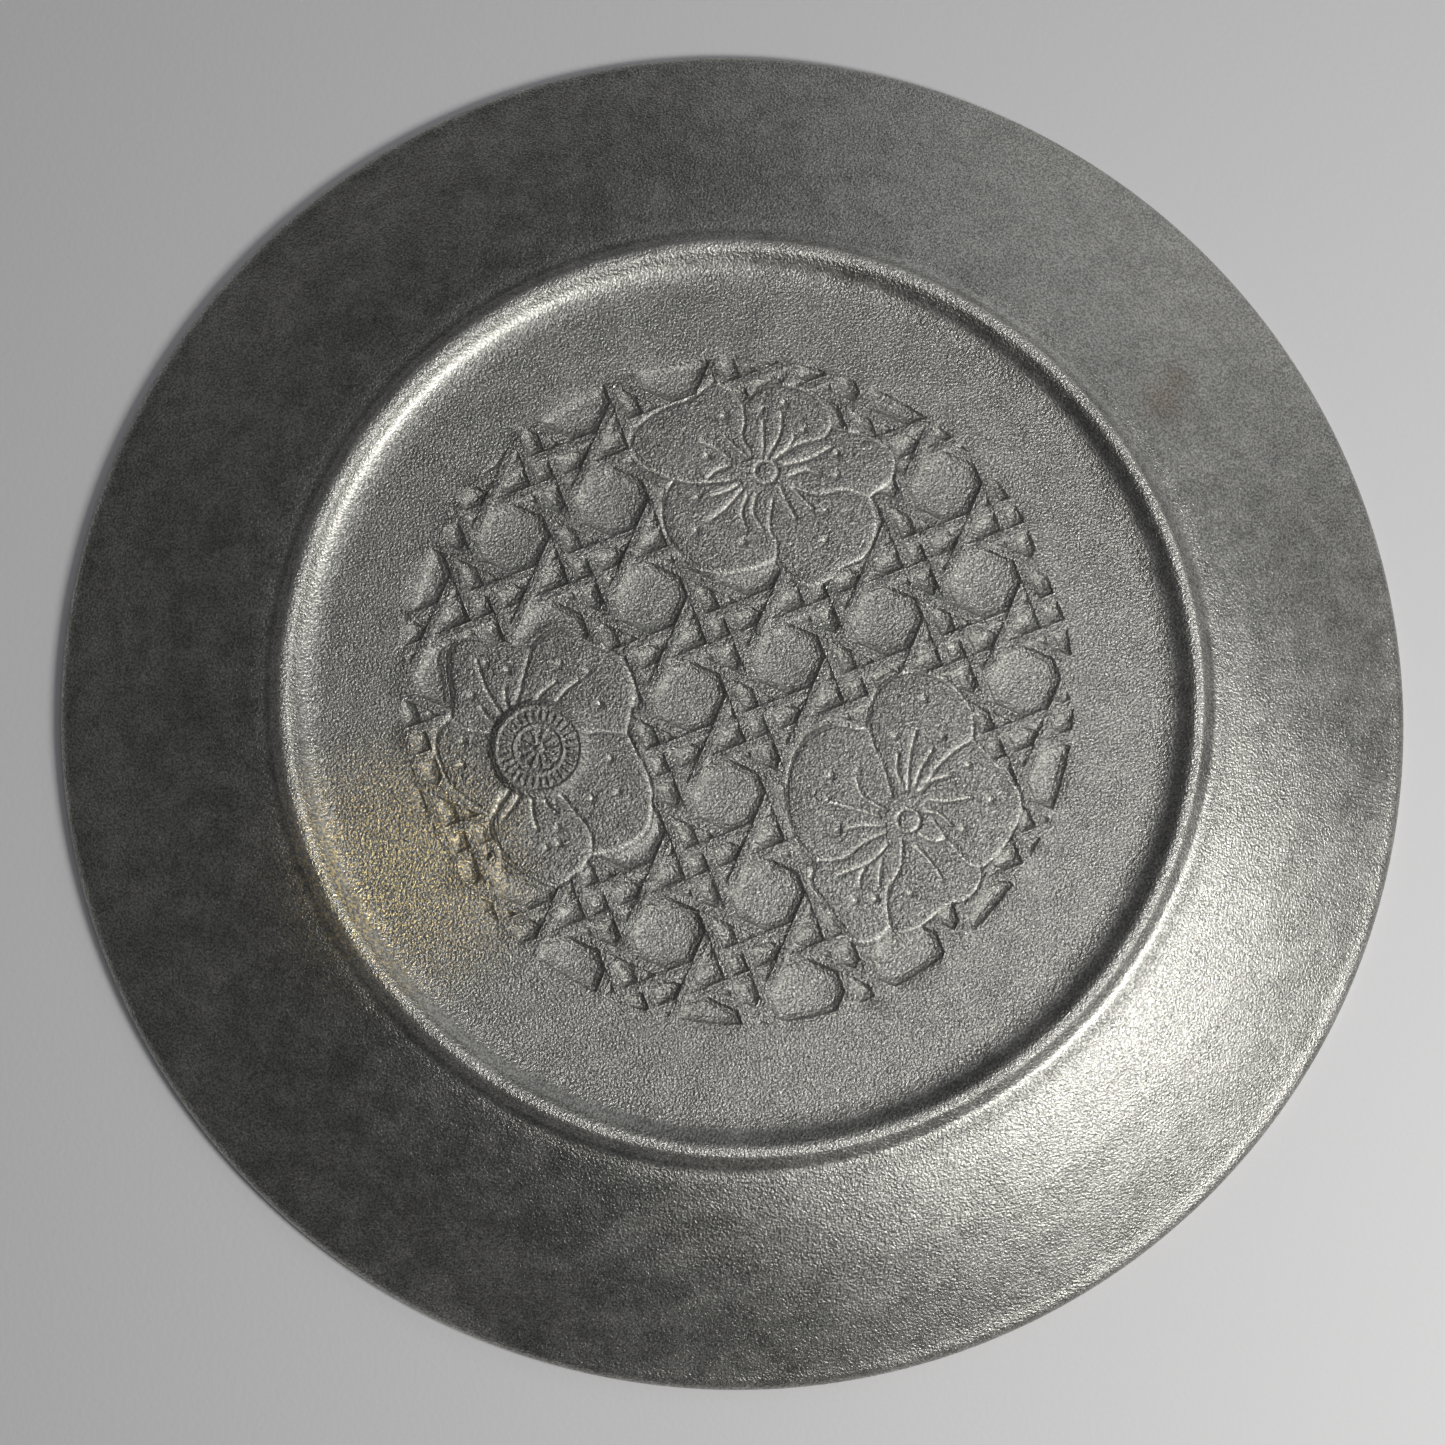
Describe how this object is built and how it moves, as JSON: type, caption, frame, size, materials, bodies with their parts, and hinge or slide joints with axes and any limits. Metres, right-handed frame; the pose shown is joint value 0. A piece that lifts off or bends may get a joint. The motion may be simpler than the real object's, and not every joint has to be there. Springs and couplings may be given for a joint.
{
  "type": "paten plate",
  "caption": "Round cast-metal paten plate with a foot ring on its underside around a round panel of woven cane and open flowers.",
  "frame": {"origin": "middle of the plane the rim's edge rests on, on the plate's own axis", "axes": "stored face down: +Z points out of the underside, from the rim's edge to the foot ring; the eating or serving side faces -Z; +X and +Y lie in the plane of the rim. To set the plate on its foot, turn it half a turn about X"},
  "size_m": [0.27, 0.27, 0.023],
  "materials": {
    "cast_metal": "sand-cast, grey, satin with a slight tarnish"
  },
  "bodies": {
    "root": {"plate": "cast_metal"}
  },
  "joints": []
}
